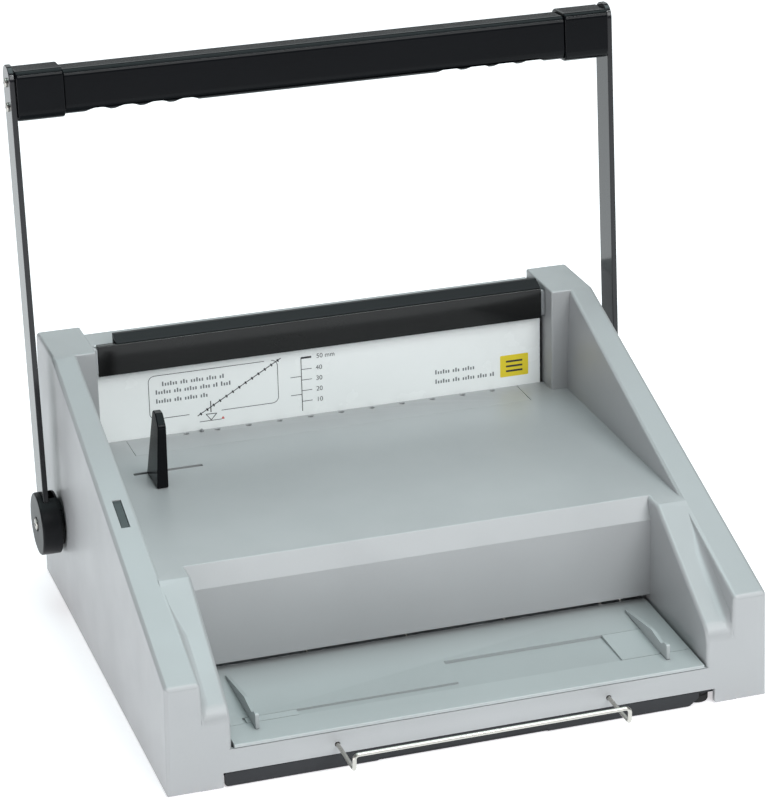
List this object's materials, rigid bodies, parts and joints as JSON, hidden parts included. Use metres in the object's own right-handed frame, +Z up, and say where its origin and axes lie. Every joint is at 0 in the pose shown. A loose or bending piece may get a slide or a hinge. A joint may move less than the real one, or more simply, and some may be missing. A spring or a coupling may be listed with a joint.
{
  "type": "strip binding machine",
  "caption": "Desktop hot-knife strip binder with a lever punch, paper guides, motorised pressure bar, pull-out wire rest and chip drawer.",
  "frame": {"origin": "centre of the bounding box's bottom face, on the table under the machine", "axes": "+X to the machine's right (along the grip rail), -Y towards the user, +Z up"},
  "size_m": [0.485, 0.4376, 0.429],
  "materials": {
    "housing": "satin silver-grey moulded plastic",
    "tray": "fine-textured grey plastic",
    "white_panel": "smooth white",
    "gloss_black": "glossy black",
    "black_plastic": "satin black",
    "dark_grey": "textured dark grey",
    "smoked_lens": "smoked",
    "rubber": "matt",
    "steel": "machined",
    "nickel_wire": "nickel plated",
    "brass": "machined brass"
  },
  "bodies": {
    "chassis": {"base_pan": "steel", "right_side_housing": "housing", "left_side_housing": "housing", "front_fascia": "housing", "top_deck": "housing", "binding_bed": "housing", "locating_pin": "steel", "rear_cover": "housing", "back_panel": "white_panel", "top_trim_strip": "black_plastic", "indicator_lens": "smoked_lens", "foot_front_left": "rubber", "foot_front_right": "rubber", "foot_rear_left": "rubber", "foot_rear_right": "rubber", "punch_tray": "tray", "die_block": "steel", "punch_guide_block": "steel", "right_frame_plate": "steel", "left_frame_plate": "steel", "right_shaft_bearing": "brass", "left_shaft_bearing": "brass", "drive_shelf": "steel", "timing_belt": "rubber", "bar_motor": "dark_grey", "knife_rail": "steel", "power_inlet": "black_plastic"},
    "handle": {"cross_shaft": "steel", "right_arm": "gloss_black", "left_arm": "gloss_black", "right_pivot_knob": "black_plastic", "left_pivot_knob": "black_plastic", "right_end_cap": "black_plastic", "left_end_cap": "black_plastic", "grip_rail": "black_plastic", "right_punch_cam": "steel", "left_punch_cam": "steel", "right_upper_arm_screw": "steel", "left_upper_arm_screw": "steel", "right_lower_arm_screw": "steel", "left_lower_arm_screw": "steel", "right_knob_screw": "steel", "left_knob_screw": "steel"},
    "punch_rockers": {"right_punch_rocker": "steel", "left_punch_rocker": "steel", "rocker_shaft": "steel"},
    "ram": {"punch_ram": "steel"},
    "bar": {"pressure_bar": "gloss_black", "right_bar_bracket": "steel", "left_bar_bracket": "steel"},
    "screw_right": {"right_lead_screw": "steel"},
    "screw_left": {"left_lead_screw": "steel"},
    "knife": {"knife_carriage": "steel"},
    "guide_right": {"right_tray_guide": "tray"},
    "guide_left": {"left_tray_guide": "tray"},
    "pinion": {"guide_pinion": "brass"},
    "edge_guide": {"deck_edge_guide": "black_plastic"},
    "bail": {"wire_bail": "nickel_wire"},
    "drawer": {"chip_drawer": "dark_grey"},
    "switch": {"power_rocker": "black_plastic"}
  },
  "joints": [
    {"name": "handle_swing", "type": "hinge", "parent": "chassis", "child": "handle", "pos_m": [0, 0.15295, 0.0702], "axis": [1, 0, 0], "range_deg": [0, 78]},
    {"name": "rocker_tilt", "type": "hinge", "parent": "chassis", "child": "punch_rockers", "pos_m": [0, 0.03775, 0.092], "axis": [1, 0, 0], "range_deg": [0, 6.2]},
    {"name": "ram_stroke", "type": "slide", "parent": "chassis", "child": "ram", "axis": [0, 0, -1], "range_m": [0, 0.0101]},
    {"name": "bar_drop", "type": "slide", "parent": "chassis", "child": "bar", "axis": [0, 0, -1], "range_m": [0, 0.0545]},
    {"name": "screw_right_turn", "type": "hinge", "parent": "chassis", "child": "screw_right", "pos_m": [0.16, 0.20075, 0.14], "axis": [0, 0, 1], "range_deg": [0, 985]},
    {"name": "screw_left_turn", "type": "hinge", "parent": "chassis", "child": "screw_left", "pos_m": [-0.16, 0.20075, 0.14], "axis": [0, 0, 1], "range_deg": [0, 985]},
    {"name": "knife_cut", "type": "slide", "parent": "chassis", "child": "knife", "axis": [0, 1, 0], "range_m": [0, 0.01]},
    {"name": "guide_right_slide", "type": "slide", "parent": "chassis", "child": "guide_right", "axis": [-1, 0, 0], "range_m": [0, 0.105]},
    {"name": "guide_left_slide", "type": "slide", "parent": "chassis", "child": "guide_left", "axis": [1, 0, 0], "range_m": [0, 0.1055]},
    {"name": "pinion_turn", "type": "hinge", "parent": "chassis", "child": "pinion", "pos_m": [0, -0.13225, 0.024], "axis": [0, 0, 1], "range_deg": [0, 865]},
    {"name": "edge_guide_slide", "type": "slide", "parent": "chassis", "child": "edge_guide", "axis": [1, 0, 0], "range_m": [-0.0078, 0.03]},
    {"name": "bail_pull", "type": "slide", "parent": "chassis", "child": "bail", "axis": [0, -1, 0], "range_m": [-0.034, 0.06]},
    {"name": "drawer_pull", "type": "slide", "parent": "chassis", "child": "drawer", "axis": [0, -1, 0], "range_m": [0, 0.135]},
    {"name": "switch_rock", "type": "hinge", "parent": "chassis", "child": "switch", "pos_m": [-0.084, 0.21315, 0.041], "axis": [1, 0, 0], "range_deg": [0, 13.7]}
  ],
  "couplings": [
    {"joint": "rocker_tilt", "follows": "handle_swing", "ratio": 0.0782},
    {"joint": "ram_stroke", "follows": "handle_swing", "m_per_rad": 0.00735},
    {"joint": "screw_right_turn", "follows": "bar_drop", "rad_per_m": 314.16},
    {"joint": "screw_left_turn", "follows": "bar_drop", "rad_per_m": 314.16},
    {"joint": "guide_left_slide", "follows": "guide_right_slide", "ratio": 1},
    {"joint": "pinion_turn", "follows": "guide_right_slide", "rad_per_m": 142.86}
  ]
}
